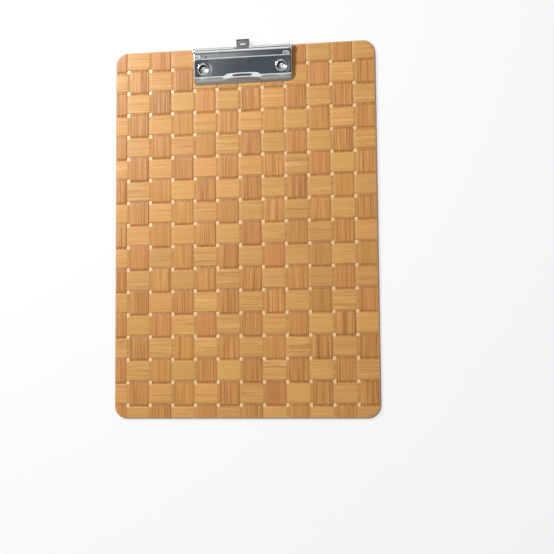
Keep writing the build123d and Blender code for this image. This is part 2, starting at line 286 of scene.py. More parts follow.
def tube(name, path, radius, sides=12):
    """Round wire along a list of points, with closed ends."""
    points = [Vector(p) for p in path]
    verts = []
    side = None
    for k, point in enumerate(points):
        ahead = points[min(k + 1, len(points) - 1)]
        behind = points[max(k - 1, 0)]
        along = (ahead - behind).normalized()
        if side is None:
            side = along.orthogonal().normalized()
        side = (side - along * side.dot(along)).normalized()
        up = along.cross(side)
        for s in range(sides):
            turn = 2 * math.pi * s / sides
            offset = side * math.cos(turn) * radius + up * math.sin(turn) * radius
            verts.append(tuple(point + offset))
    faces = []
    for k in range(len(points) - 1):
        for s in range(sides):
            t = (s + 1) % sides
            faces.append((k * sides + s, k * sides + t, (k + 1) * sides + t, (k + 1) * sides + s))
    faces.append(tuple(range(sides)))
    faces.append(tuple(range(len(verts) - 1, len(verts) - sides - 1, -1)))
    return new_object(name, verts, faces)


def smoothstep(t):
    """Soft step from 0 to 1 as t runs from 0 to 1."""
    t = max(0.0, min(1.0, t))
    return t * t * (3 - 2 * t)


def steps(low, high, count):
    """Evenly spaced values from low to high."""
    return [low + (high - low) * k / count for k in range(count + 1)]


def arc(y, z, radius, low, high, count):
    """Points along a circle in (y, z), from one angle to another in degrees."""
    turns = [math.radians(angle) for angle in steps(low, high, count)]
    return [(y + radius * math.cos(turn), z + radius * math.sin(turn)) for turn in turns]


# ------------------------------------------------------------- material tools

class Nodes:
    """Short hand for building one material's node tree."""

    def __init__(self, tree):
        self.tree = tree

    def add(self, kind, **settings):
        """New node with its settings."""
        node = self.tree.nodes.new(kind)
        for name, value in settings.items():
            setattr(node, name, value)
        return node

    def link(self, source, target):
        """Wire an output to an input."""
        self.tree.links.new(source, target)

    def feed(self, socket, value):
        """Link an output or set a constant."""
        if hasattr(value, "links"):
            self.link(value, socket)
        else:
            socket.default_value = value

    def math(self, operation, a, b=0.0, c=0.0):
        """Result of a sum on outputs or constants."""
        node = self.add("ShaderNodeMath", operation=operation)
        for socket, value in zip(node.inputs, (a, b, c)):
            self.feed(socket, value)
        return node.outputs[0]

    def vector(self, x, y, z):
        """Vector of three outputs or constants."""
        node = self.add("ShaderNodeCombineXYZ")
        for socket, value in zip(node.inputs, (x, y, z)):
            self.feed(socket, value)
        return node.outputs[0]

    def stretched(self, *parts):
        """Vector of three parts: plain values, or values paired with a scale."""
        scaled = []
        for part in parts:
            scaled.append(self.math("MULTIPLY", *part) if isinstance(part, tuple) else part)
        return self.vector(*scaled)

    def noise(self, vector, scale, detail=3.0, roughness=0.5, distortion=0.0):
        """Smooth random values, mostly between 0.3 and 0.7."""
        node = self.add("ShaderNodeTexNoise")
        self.link(vector, node.inputs["Vector"])
        node.inputs["Scale"].default_value = scale
        node.inputs["Detail"].default_value = detail
        node.inputs["Roughness"].default_value = roughness
        node.inputs["Distortion"].default_value = distortion
        return node.outputs["Fac"]

    def white(self, vector):
        """Separate even random values for each whole-number cell."""
        node = self.add("ShaderNodeTexWhiteNoise", noise_dimensions="3D")
        self.link(vector, node.inputs["Vector"])
        split = self.add("ShaderNodeSeparateColor")
        self.link(node.outputs["Color"], split.inputs[0])
        return split.outputs

    def ramp(self, value, low, high, out_low=0.0, out_high=1.0, smooth=True):
        """Value mapped from one range to another, and held at its ends."""
        node = self.add("ShaderNodeMapRange")
        node.interpolation_type = "SMOOTHSTEP" if smooth else "LINEAR"
        self.feed(node.inputs["Value"], value)
        node.inputs["From Min"].default_value = low
        node.inputs["From Max"].default_value = high
        node.inputs["To Min"].default_value = out_low
        node.inputs["To Max"].default_value = out_high
        return node.outputs["Result"]

    def mix(self, amount, a, b, blend="MIX"):
        """Colour a blended towards b."""
        node = self.add("ShaderNodeMix", data_type="RGBA", blend_type=blend)
        self.feed(node.inputs["Factor"], amount)
        self.feed(node.inputs[6], a)
        self.feed(node.inputs[7], b)
        return node.outputs[2]

    def bump(self, height, distance_mm, strength=1.0):
        """Shading normal tilted by a height."""
        node = self.add("ShaderNodeBump")
        node.inputs["Distance"].default_value = distance_mm * MM
        node.inputs["Strength"].default_value = strength
        self.link(height, node.inputs["Height"])
        return node.outputs["Normal"]


def start_material(name):
    """Empty principled material: (material, node helper, shader)."""
    material = bpy.data.materials.new(name)
    material.use_nodes = True
    tree = material.node_tree
    tree.nodes.clear()
    nodes = Nodes(tree)
    shader = nodes.add("ShaderNodeBsdfPrincipled")
    output = nodes.add("ShaderNodeOutputMaterial")
    nodes.link(shader.outputs[0], output.inputs[0])
    return material, nodes, shader


def object_mm(nodes):
    """Object position in millimetres, split into x, y, z."""
    place = nodes.add("ShaderNodeTexCoord")
    scale = nodes.add("ShaderNodeVectorMath", operation="SCALE")
    nodes.link(place.outputs["Object"], scale.inputs[0])
    scale.inputs["Scale"].default_value = 1 / MM
    split = nodes.add("ShaderNodeSeparateXYZ")
    nodes.link(scale.outputs[0], split.inputs[0])
    return split.outputs


def dress(obj, material):
    """Give an object one material."""
    obj.data.materials.clear()
    obj.data.materials.append(material)


# ------------------------------------------------------------------ materials

# Pale tone of the strips over the board's rounded edge, partly the edge's own tone and partly a painted
# highlight.
PALE_EDGE_AND_HIGHLIGHT_WOOD = (0.62, 0.42, 0.28, 1)
# Dark tone of the painted shade at the strips' long sides and diving ends.
PAINTED_SHADE_WOOD = (0.24, 0.085, 0.016, 1)


def board_inset(n, x, y):
    """Distance of a shading point inside the board's rounded outline."""
    qx = n.math("SUBTRACT", n.math("ABSOLUTE", x), HALF_W - CORNER_R)
    qy = n.math("SUBTRACT", n.math("ABSOLUTE", y), HALF_L - CORNER_R)
    px = n.math("MAXIMUM", qx, 0.0)
    py = n.math("MAXIMUM", qy, 0.0)
    outside = n.math("SQRT", n.math("ADD", n.math("MULTIPLY", px, px), n.math("MULTIPLY", py, py)))
    inside = n.math("MINIMUM", n.math("MAXIMUM", qx, qy), 0.0)
    return n.math("SUBTRACT", n.math("SUBTRACT", CORNER_R, outside), inside)


def strip_material(name, lengthwise, pitch_across, first_across, width, pitch_along, first_along, tones):
    """Lacquered wood strip with grain along it, and tones that change a little
    from one crossing to the next."""
    material, n, shader = start_material(name)
    x, y, _ = object_mm(n)
    along, across = (y, x) if lengthwise == "Y" else (x, y)

    # Strip number across, crossing number along, and the place within each.
    across_cells = n.math("DIVIDE", n.math("SUBTRACT", across, first_across), pitch_across)
    along_cells = n.math("DIVIDE", n.math("SUBTRACT", along, first_along), pitch_along)
    strip = n.math("ROUND", across_cells)
    crossing = n.math("ROUND", along_cells)
    side = n.math("ABSOLUTE", n.math("SUBTRACT", across_cells, strip))
    end = n.math("ABSOLUTE", n.math("SUBTRACT", along_cells, crossing))
    per_strip = n.white(n.vector(strip, 3.0, 7.0))
    per_block = n.white(n.vector(strip, crossing, 11.0))

    # Grain: stretched noise, bent by a slow wander so that lines wave and swirl.
    seed = n.math("MULTIPLY", per_block[0], 400.0)
    wander = n.noise(n.stretched((along, 0.11), (across, 0.16), seed), 1.0, 2.0)
    bend = n.math("MULTIPLY", n.math("SUBTRACT", wander, 0.5), tones["wave"])
    bent = n.math("ADD", across, bend)
    fine = n.noise(n.stretched((along, 0.012), (bent, 0.95), seed), 1.0, 3.0, 0.6)
    broad = n.noise(n.stretched((along, 0.015), (bent, 0.55), seed), 1.0, 3.0, 0.55)
    pores = n.noise(n.stretched((along, 0.25), (across, 4.5), seed), 1.0, 2.0)

    dark_lines = n.ramp(fine, tones["line_low"], tones["line_high"], 1.0, 0.0)
    light_lines = n.ramp(broad, 0.52, 0.68)
    colour = n.mix(light_lines, tones["base"], tones["light"])
    colour = n.mix(n.math("MULTIPLY", dark_lines, tones["line_strength"]), colour, tones["dark"])
    colour = n.mix(n.ramp(pores, 0.30, 0.42, 0.30, 0.0), colour, tones["dark"])

    # Warmer, redder and yellower blocks, and a little brightness change.
    colour = n.mix(n.ramp(per_block[1], 0.55, 1.0, 0.0, TINT_SHARE), colour, tones["red"])
    colour = n.mix(n.ramp(per_block[2], 0.55, 1.0, 0.0, TINT_SHARE), colour, tones["yellow"])
    brightness = n.math("ADD", n.ramp(per_block[0], 0.0, 1.0, -0.06, 0.06, False), 1.0)
    brightness = n.math("ADD", brightness, n.ramp(per_strip[0], 0.0, 1.0, -0.03, 0.03, False))

    # The strips are paler where they run over the board's rounded edge: partly the edge's own paler tone,
    # partly a painted highlight of the rounding.
    colour = n.mix(n.ramp(board_inset(n, x, y), EDGE_ROUND, 0.5, 0.0, 0.75), colour, PALE_EDGE_AND_HIGHLIGHT_WOOD)

    # Painted shade darkens the long sides and the ends that dive under, where the strips pass below their
    # neighbours.
    half = width / 2 / pitch_across
    side_shade = n.ramp(side, half - tones["side_shade_mm"] / pitch_across, half, 0.0, tones["side_shade"])
    end_shade = n.ramp(end, 0.5 - tones["end_shade_mm"] / pitch_along, 0.5, 0.0, tones["end_shade"])
    clear = n.math("MULTIPLY", n.math("SUBTRACT", 1.0, side_shade), n.math("SUBTRACT", 1.0, end_shade))
    colour = n.mix(n.math("SUBTRACT", 1.0, clear), colour, PAINTED_SHADE_WOOD)
    grey = n.add("ShaderNodeCombineColor")
    for socket in grey.inputs:
        n.link(brightness, socket)
    colour = n.mix(1.0, colour, grey.outputs[0], "MULTIPLY")
    n.link(colour, shader.inputs["Base Color"])

    rough = n.math("ADD", n.ramp(fine, 0.3, 0.7, 0.46, 0.36), n.math("MULTIPLY", pores, 0.06))
    n.link(rough, shader.inputs["Roughness"])
    shader.inputs["Specular IOR Level"].default_value = 0.34
    relief = n.math("SUBTRACT", n.math("MULTIPLY", broad, 0.6), n.math("MULTIPLY", dark_lines, 0.7))
    relief = n.math("SUBTRACT", relief, n.ramp(pores, 0.30, 0.42, 0.3, 0.0))
    n.link(n.bump(relief, 0.06, 0.5), shader.inputs["Normal"])
    return material


def board_materials():
    """Core with a pale face and a pinkish sawn edge, and the backing sheet."""
    core, n, shader = start_material("fibreboard core")
    x, y, z = object_mm(n)
    place = n.vector(x, y, z)
    fibre = n.noise(place, 2.2, 5.0, 0.65)
    cloud = n.noise(place, 0.05, 2.0)
    face = n.mix(n.ramp(fibre, 0.35, 0.7), (0.88, 0.56, 0.28, 1), (0.95, 0.68, 0.38, 1))
    layer = n.noise(n.stretched((x, 0.3), (y, 0.3), (z, 5.0)), 1.0, 4.0)
    edge = n.mix(n.ramp(layer, 0.3, 0.7), (0.42, 0.24, 0.17, 1), (0.62, 0.40, 0.30, 1))
    colour = n.mix(n.ramp(z, CORE_TOP - 0.08, CORE_TOP - 0.01), edge, face)
    colour = n.mix(n.ramp(cloud, 0.35, 0.7, 0.0, 0.15), colour, (0.5, 0.3, 0.18, 1))
    n.link(colour, shader.inputs["Base Color"])
    n.link(n.ramp(fibre, 0.3, 0.7, 0.38, 0.30), shader.inputs["Roughness"])
    shader.inputs["Specular IOR Level"].default_value = 1.0
    n.link(n.bump(fibre, 0.05, 0.3), shader.inputs["Normal"])

    back, n, shader = start_material("backing sheet")
    x, y, z = object_mm(n)
    wander = n.noise(n.stretched((x, 0.02), (y, 0.006), 0.0), 1.0, 2.0)
    bent = n.math("ADD", x, n.math("MULTIPLY", wander, 26.0))
    figure = n.noise(n.stretched((bent, 0.25), (y, 0.006), 2.0), 1.0, 5.0, 0.6)
    pores = n.noise(n.stretched((x, 3.2), (y, 0.12), 5.0), 1.0, 2.0)
    colour = n.mix(n.ramp(figure, 0.36, 0.66), (0.40, 0.215, 0.085, 1), (0.60, 0.36, 0.16, 1))
    colour = n.mix(n.ramp(pores, 0.28, 0.42, 0.45, 0.0), colour, (0.23, 0.11, 0.045, 1))
    n.link(colour, shader.inputs["Base Color"])
    n.link(n.ramp(figure, 0.3, 0.7, 0.42, 0.52), shader.inputs["Roughness"])
    height = n.math("SUBTRACT", figure, n.ramp(pores, 0.28, 0.42, 0.5, 0.0))
    n.link(n.bump(height, 0.04, 0.5), shader.inputs["Normal"])
    return core, back


def metal_material(name, tint, rough_low, rough_high, brushed=0.0):
    """Plated or drawn steel with faint smears, wear and fine scratches."""
    material, n, shader = start_material(name)
    x, y, z = object_mm(n)
    place = n.vector(x, y, z)
    smear = n.noise(place, 0.22, 4.0, 0.6, 0.6)
    speck = n.noise(place, 3.5, 3.0, 0.6)
    scratch = n.noise(n.stretched((x, 0.25), (y, 7.0), (z, 7.0)), 1.0, 2.0)
    darker = tuple(0.9 * c for c in tint) + (1,)
    colour = n.mix(n.ramp(smear, 0.38, 0.72), tint + (1,), darker)
    colour = n.mix(n.ramp(speck, 0.66, 0.76, 0.0, 0.18), colour, (0.42, 0.41, 0.40, 1))
    n.link(colour, shader.inputs["Base Color"])
    shader.inputs["Metallic"].default_value = 1.0
    worn = n.ramp(smear, 0.35, 0.75, rough_low, rough_high)
    rough = n.math("ADD", worn, n.ramp(scratch, 0.6, 0.8, 0.0, 0.06))
    n.link(rough, shader.inputs["Roughness"])
    n.link(n.bump(scratch, 0.01, 0.05 + brushed), shader.inputs["Normal"])
    return material


WARP_PITCH = 19.5
WEFT_PITCH = 19.1
WARP_BOX = span(WARPS[1])
WEFT_BOX = span(WEFTS[1])
WARP_W = WARP_BOX[1].x - WARP_BOX[0].x
WEFT_W = WEFT_BOX[1].y - WEFT_BOX[0].y
WARP_X0 = (WARP_BOX[0].x + WARP_BOX[1].x) / 2 - WARP_PITCH
WEFT_Y0 = (WEFT_BOX[0].y + WEFT_BOX[1].y) / 2 + WEFT_PITCH

TINT_SHARE = 0.5
# In each set of tones, the side and end entries give the width and depth of painted shade along the
# strips' sides and diving ends.
WARP_TONES = {
    "base": (0.615, 0.280, 0.074, 1), "light": (0.72, 0.375, 0.120, 1), "dark": (0.31, 0.112, 0.022, 1),
    "red": (0.62, 0.255, 0.074, 1), "yellow": (0.585, 0.290, 0.064, 1),
    "wave": 0.9, "line_low": 0.40, "line_high": 0.53, "line_strength": 0.70,
    "side_shade_mm": 1.0, "side_shade": 0.34, "end_shade_mm": 1.4, "end_shade": 0.46,
}
WEFT_TONES = {
    "base": (0.670, 0.340, 0.098, 1), "light": (0.77, 0.44, 0.150, 1), "dark": (0.42, 0.180, 0.042, 1),
    "red": (0.675, 0.320, 0.100, 1), "yellow": (0.655, 0.36, 0.090, 1),
    "wave": 2.2, "line_low": 0.36, "line_high": 0.49, "line_strength": 0.62,
    "side_shade_mm": 0.8, "side_shade": 0.26, "end_shade_mm": 1.0, "end_shade": 0.20,
}

warp_wood = strip_material("warp wood", "Y", WARP_PITCH, WARP_X0, WARP_W, WEFT_PITCH, WEFT_Y0, WARP_TONES)
weft_wood = strip_material("weft wood", "X", WEFT_PITCH, WEFT_Y0, WEFT_W, WARP_PITCH, WARP_X0, WEFT_TONES)
core_wood, back_wood = board_materials()
chrome = metal_material("chrome plate", (0.80, 0.82, 0.83), 0.05, 0.11)
tab_steel = metal_material("tab plate", (0.18, 0.193, 0.186), 0.26, 0.34, 0.1)
rivet_metal = metal_material("rivet plate", (0.74, 0.75, 0.76), 0.12, 0.26)
pin_steel = metal_material("drawn steel", (0.56, 0.57, 0.58), 0.22, 0.36, 0.25)
spring_steel = metal_material("spring wire", (0.48, 0.49, 0.51), 0.20, 0.34, 0.15)


# ----------------------------------------------------------------- woven face

def outline_inset(x, y):
    """How far a point lies inside the board's rounded outline."""
    qx = abs(x) - (HALF_W - CORNER_R)
    qy = abs(y) - (HALF_L - CORNER_R)
    outside = math.hypot(max(qx, 0.0), max(qy, 0.0))
    return CORNER_R - outside - min(max(qx, qy), 0.0)


def side_limit(inner, half, half_other):
    """Half-width of the rounded outline at a distance from the middle."""
    past = abs(inner) - (half_other - CORNER_R)
    if past <= 0:
        return half
    return half - CORNER_R + math.sqrt(max(CORNER_R ** 2 - past ** 2, 0.0))


def face_height(inset):
    """Height of the board's rounded-over face at a distance from its edge."""
    if inset >= EDGE_ROUND:
        return FRONT
    past = EDGE_ROUND - max(inset, 0.0)
    return FRONT - EDGE_ROUND + math.sqrt(EDGE_ROUND ** 2 - past ** 2)


# How a strip dips towards a crossing's ends, bulges across, thins at its sides
# and narrows between crossings, and the hole that a rivet's shank needs.
SAG = 0.07
CROWN = 0.08
EDGE_THIN = 0.16
PINCH = 0.32
SEAT_R = 2.1


def strip_stations(crossings, low, high):
    """Places along a strip, closer together where it bends and at its ends."""
    places = set()
    for start, finish, _ in crossings:
        reach = (finish - start) / 2
        middle = (start + finish) / 2
        for share in (-1.0, -0.94, -0.86, -0.7, -0.4, 0.0, 0.4, 0.7, 0.86, 0.94, 1.0):
            places.add(round(middle + share * reach, 3))
    for before, after in zip(crossings, crossings[1:]):
        for share in (0.2, 0.35, 0.5, 0.65, 0.8):
            places.add(round(before[1] + share * (after[0] - before[1]), 3))
    for depth in (0.0, 0.12, 0.3, 0.55, 0.85, 1.2, 1.6, 2.1, 3.2, 4.6, 6.2, 8.0, 9.8):
        places.add(round(low + depth, 3))
        places.add(round(high - depth, 3))
    return sorted(p for p in places if low <= p <= high)


def strip_level(place, crossings):
    """Height of a strip's middle, and how much it narrows, at a place along it."""
    def rest(crossing, at):
        start, finish, over = crossing
        reach = (finish - start) / 2
        share = min(1.0, abs(at - (start + finish) / 2) / reach)
        if over:
            return CORE_TOP + 1.5 * STRIP_T - SAG * share ** 2
        return CORE_TOP + 0.5 * STRIP_T

    for crossing in crossings:
        if crossing[0] <= place <= crossing[1]:
            return rest(crossing, place), 0.0
    for before, after in zip(crossings, crossings[1:]):
        if before[1] < place < after[0]:
            share = (place - before[1]) / (after[0] - before[1])
            risen = smoothstep(share)
            level = rest(before, before[1]) * (1 - risen) + rest(after, after[0]) * risen
            return level, PINCH * math.sin(math.pi * share) ** 0.7
    nearest = crossings[0] if place < crossings[0][0] else crossings[-1]
    return rest(nearest, place), 0.0


def strip_offsets(low, high):
    """Places across a strip with their share of the half-width."""
    middle = (low + high) / 2
    half = (high - low) / 2
    shares = []
    for depth in (0.0, 0.1, 0.28, 0.6, 1.1, 1.9):
        shares.append(1 - depth / half)
    shares += [0.6, 0.3]
    left = [(middle - share * half, -share) for share in shares]
    right = [(middle + share * half, share) for share in shares[::-1]]
    return left + [(middle, 0.0)] + right


def woven_strip(node, lengthwise, crossings, material):
    """One strip of the face: crowned, round-sided, and bent over and under."""
    box_low, box_high = span(node)
    if lengthwise == "Y":
        low, high, end_low, end_high = box_low.x, box_high.x, box_low.y, box_high.y
    else:
        low, high, end_low, end_high = box_low.y, box_high.y, box_low.x, box_high.x
    stations = strip_stations(crossings, end_low, end_high)
    offsets = strip_offsets(low, high)
    half = (high - low) / 2
    tops = []
    bottoms = []
    for place in stations:
        level, pinch = strip_level(place, crossings)
        for across, share in offsets:
            if abs(across) < (HALF_W if lengthwise == "Y" else HALF_L) - 0.01:
                across -= pinch * share
            x, y = (across, place) if lengthwise == "Y" else (place, across)
            if lengthwise == "Y":
                limit = side_limit(y, HALF_W, HALF_L)
                x = max(-limit, min(limit, x))
            else:
                limit = side_limit(x, HALF_L, HALF_W)
                y = max(-limit, min(limit, y))
            from_side = (1 - abs(share)) * half
            thin = EDGE_THIN * (1 - smoothstep(from_side / 0.6))
            top = level + STRIP_T / 2 - CROWN * share ** 2 - thin
            bottom = level - STRIP_T / 2 + thin * 0.4
            cap = face_height(outline_inset(x, y))
            top = max(min(top, cap), CORE_TOP - 0.3)
            tops.append((x, y, top))
            bottoms.append((x, y, min(bottom, top - 0.02)))
    rows, columns = len(stations), len(offsets)
    verts = tops + bottoms
    size = len(tops)
    faces = grid_faces(rows, columns)
    faces += [tuple(size + k for k in face[::-1]) for face in grid_faces(rows, columns)]
    for r in range(rows - 1):
        for column in (0, columns - 1):
            a, b = r * columns + column, (r + 1) * columns + column
            faces.append((a, b, size + b, size + a))
    for c in range(columns - 1):
        for row in (0, rows - 1):
            a, b = row * columns + c, row * columns + c + 1
            faces.append((a, b, size + b, size + a))
    piece = new_object(node + "_woven", verts, faces, "board", 50.0)
    for side in (-1, 1):
        near_x = box_low.x - SEAT_R < side * RIVET_X < box_high.x + SEAT_R
        near_y = box_low.y - SEAT_R < RIVET_Y < box_high.y + SEAT_R
        if near_x and near_y:
            cut(piece, upright_rod("seat", side * RIVET_X, RIVET_Y, CORE_TOP - 1, FRONT + 1, SEAT_R))
    dress(piece, material)
    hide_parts(node)


def crossing_spans(nodes, axis, over):
    """(start, finish, over) of the crossed strips, in order along the strip."""
    spans = []
    for number, node in enumerate(nodes):
        low, high = span(node)
        spans.append((low[axis], high[axis], over(number)))
    return sorted(spans)


def woven_face():
    """All the strips, each over one and under the next of those it crosses."""
    for i, node in enumerate(WARPS):
        crossings = crossing_spans(WEFTS, 1, lambda j: (i + j) % 2 == 0)
        woven_strip(node, "Y", crossings, warp_wood)
    for j, node in enumerate(WEFTS):
        crossings = crossing_spans(WARPS, 0, lambda i: (i + j) % 2 == 1)
        woven_strip(node, "X", crossings, weft_wood)


# ------------------------------------------------------------ board and pin

def cad_finishes():
    """Materials for the pieces that are seen as the CAD shapes them."""
    dress(frame["nodes"]["core_panel"], core_wood)
    dress(frame["nodes"]["back_sheet"], back_wood)
    dress(frame["nodes"]["hinge_pin"], pin_steel)


# ------------------------------------------------------------------- jaw plate

def rounded_line(points, radii, samples=7):
    """Broken line in (y, z) with each inner corner rounded by a short curve."""
    line = [points[0]]
    for k in range(1, len(points) - 1):
        before, here, after = (Vector(points[m]) for m in (k - 1, k, k + 1))
        reach = radii[k - 1]
        start = here + (before - here).normalized() * min(reach, (before - here).length * 0.48)
        finish = here + (after - here).normalized() * min(reach, (after - here).length * 0.48)
        for s in range(samples):
            t = s / (samples - 1)
            point = start * (1 - t) ** 2 + here * 2 * t * (1 - t) + finish * t ** 2
            line.append((point.x, point.y))
    line.append(points[-1])
    return line


def panel_height(y):
    """Height of the sloping panel's top face."""
    return CREST_Z + (RIDGE_Z - CREST_Z) * (y - CREST_Y) / (RIDGE_Y - CREST_Y)


BAND_REAR_Y = PIN_Y - math.sqrt(JAW_CLEAR_R ** 2 - (BAND_Z - PIN_Z) ** 2)
SIDE_ROUND = 1.25
FRONT_CORNER_R = 2.3

# Finger ledge in the middle of the lip: half-length, heights and depths.
LEDGE_HALF = 15.5
LEDGE_FRONT_Z = FRONT + 3.98
LEDGE_REAR_Z = FRONT + 4.13
LEDGE_FRONT = 4.8
LEDGE_REAR = 7.4
LEDGE_STEP = 7.9

# Oval beads near both ends of the rear band.
OVAL_X = 38.4
OVAL_Y = BAND_Y + 1.65
OVAL_HALF = 1.6
OVAL_RISE = 0.11
OVAL_DIP = 0.12

# Round holes over the rivets, each in a shallow dish.
DISH_DEPTH = 0.16
HOLE_CUT_R = 4.95
RIM_OUTER_R = 5.05
RIM_INNER_R = 3.6
RIM_RISE = 0.45
RIM_ROLL = 0.62
JAW_TILT = math.atan2(RIDGE_Z - CREST_Z, RIDGE_Y - CREST_Y)


def jaw_section(lift):
    """Outer line of the jaw in (y, z), from the lip's edge to the rear edge.

    lift runs from 0, the plain folded lip, to 1, the finger ledge in the middle.
    """
    slope = (CREST_Z - LIP_Z) / (CREST_Y - LIP_Y)

    def lip(y):
        return LIP_Z + (y - LIP_Y) * slope

    half_way = LEDGE_FRONT / 2
    rounding = 0.12
    plain = [
        (LIP_Y, LIP_Z),
        (LIP_Y + 1.6, lip(LIP_Y + 1.6) + 0.1),
        (LIP_Y + 3.8, lip(LIP_Y + 3.8) + 0.02),
        (CREST_Y, CREST_Z),
        (CREST_Y + 1.6, panel_height(CREST_Y + 1.6)),
        (RIDGE_Y, RIDGE_Z),
        (BAND_Y, BAND_Z),
        (BAND_REAR_Y, BAND_Z),
    ]
    ledge = [
        (LIP_Y, LIP_Z),
        (LIP_Y + half_way, (LIP_Z + LEDGE_FRONT_Z) / 2 + rounding),
        (LIP_Y + LEDGE_FRONT, LEDGE_FRONT_Z),
        (LIP_Y + LEDGE_REAR, LEDGE_REAR_Z),
        (LIP_Y + LEDGE_STEP, panel_height(LIP_Y + LEDGE_STEP)),
        (RIDGE_Y, RIDGE_Z),
        (BAND_Y, BAND_Z),
        (BAND_REAR_Y, BAND_Z),
    ]
    points = []
    for a, b in zip(plain, ledge):
        points.append((a[0] + (b[0] - a[0]) * lift, a[1] + (b[1] - a[1]) * lift))
    radii = [1.0, 0.5, 0.4, 0.3, 0.25, 0.3]
    return rounded_line(points, radii)


def jaw_half_width(y):
    """Half-width of the jaw in plan, with its rounded front corners."""
    past = LIP_Y + FRONT_CORNER_R - y
    if past <= 0:
        return CLIP_HALF_W
    return CLIP_HALF_W - FRONT_CORNER_R + math.sqrt(max(FRONT_CORNER_R ** 2 - past ** 2, 0.0))


def end_bead_height(x, y):
    """Pressed oval rings near both ends of the rear band."""
    along = max(abs(abs(x) - OVAL_X) - OVAL_HALF, 0.0)
    away = math.hypot(along, y - OVAL_Y)
    rim = OVAL_RISE * (1 - smoothstep((away - 1.0) / 0.7))
    return rim - OVAL_DIP * (1 - smoothstep((away - 0.2) / 0.7))


def hole_dish(x, y):
    """Shallow dish that the round holes sit in."""
    away = math.hypot(abs(x) - RIVET_X, y - RIVET_Y)
    return DISH_DEPTH * (1 - smoothstep((away - 4.6) / 4.8))


def jaw_columns():
    """Places across the jaw as shares of its half-width, finer near the
    sides, over the pressed ovals and holes, and over the finger ledge."""
    half = []
    for depth in (0.0, 0.03, 0.1, 0.22, 0.38, 0.6, 0.9, 1.25, 1.6):
        half.append(CLIP_HALF_W - depth)
    half += steps(40.4, 23.6, 42)
    half += [21.0, 18.0, 16.0]
    half += steps(14.6, 1.6, 13)
    return [-x / CLIP_HALF_W for x in half] + [0.0] + [x / CLIP_HALF_W for x in half[::-1]]


def jaw_skin():
    """The jaw's outer face as one bent sheet with its sides folded down."""
    columns = jaw_columns()
    grid = []
    for share in columns:
        lift = math.sqrt(max(0.0, 1 - (share * CLIP_HALF_W / LEDGE_HALF) ** 2))
        section = jaw_section(lift)
        column = []
        for k, (y, z) in enumerate(section):
            after = section[k + 1] if k + 1 < len(section) else None
            column.append((y, z))
            if after and after[0] - y > 2.0:
                for t in steps(0.0, 1.0, 22)[1:-1]:
                    column.append((y + (after[0] - y) * t, z + (after[1] - z) * t))
        points = []
        for y, z in column:
            x = share * jaw_half_width(y)
            inset = jaw_half_width(y) - abs(x)
            drop = 0.0
            if inset < SIDE_ROUND:
                drop = SIDE_ROUND - math.sqrt(SIDE_ROUND ** 2 - (SIDE_ROUND - inset) ** 2)
            z = max(z + end_bead_height(x, y) - hole_dish(x, y) - drop, LIP_Z)
            points.append((x, y, z))
        grid.append(points)
    low = FRONT + 0.3
    skirt = []
    for column in (grid[0], grid[-1]):
        skirt.append([(x, y, min(z, low)) for x, y, z in column])
    grid = [skirt[0]] + grid + [skirt[1]]
    rows = len(grid[0])
    verts = [point for column in grid for point in column]
    return new_object("jaw_skin", verts, grid_faces(len(grid), rows), None, 180.0)


def ear_plate(side):
    """Rounded ear at the rear of a side wall, within the sheet's thickness."""
    low = FRONT + 0.32
    inset = 0.02
    outline = [(RIDGE_Y, low), (PIN_Y - 1.1, low)]
    outline += arc(PIN_Y, PIN_Z, EAR_R, -100, 115, 24)
    outline.append((BAND_REAR_Y + 0.4, BAND_Z - 0.35))
    outline += [(BAND_REAR_Y - 1.0, BAND_Z - 1.0), (RIDGE_Y, BAND_Z - 1.0)]
    x0, x1 = sorted((side * (CLIP_HALF_W - SHEET_T + inset), side * (CLIP_HALF_W - inset)))
    plate = prism_x("ear", outline, x0, x1)
    cut(plate, bar("ear_hole", -PAST_CLIP, PAST_CLIP, PIN_Y, PIN_Z, EAR_HOLE_R))
    bevel(plate, 0.14)
    return plate


def access_rim(side):
    """Rolled rim of the round hole over a rivet, square to the sloping panel."""
    run = RIM_OUTER_R - RIM_INNER_R - RIM_ROLL
    low = -SHEET_T - 0.3
    profile = []
    for t in steps(0.0, 1.0, 8):
        profile.append((RIM_OUTER_R - run * t, RIM_RISE * smoothstep(t)))
    for turn in steps(0.0, math.pi / 2, 8)[1:]:
        radius = RIM_INNER_R + RIM_ROLL - RIM_ROLL * math.sin(turn)
        profile.append((radius, RIM_RISE - RIM_ROLL + RIM_ROLL * math.cos(turn)))
    profile += [(RIM_INNER_R, low), (RIM_INNER_R + 0.35, low)]
    profile += [(RIM_INNER_R + 0.7, -SHEET_T), (RIM_OUTER_R, -SHEET_T)]
    ring = revolve("rim", profile, 0.0, 0.0, 96)
    middle = Vector((side * RIVET_X, RIVET_Y, panel_height(RIVET_Y) - DISH_DEPTH)) * MM
    ring.data.transform(Matrix.Translation(middle) @ Matrix.Rotation(JAW_TILT, 4, "X"))
    return ring


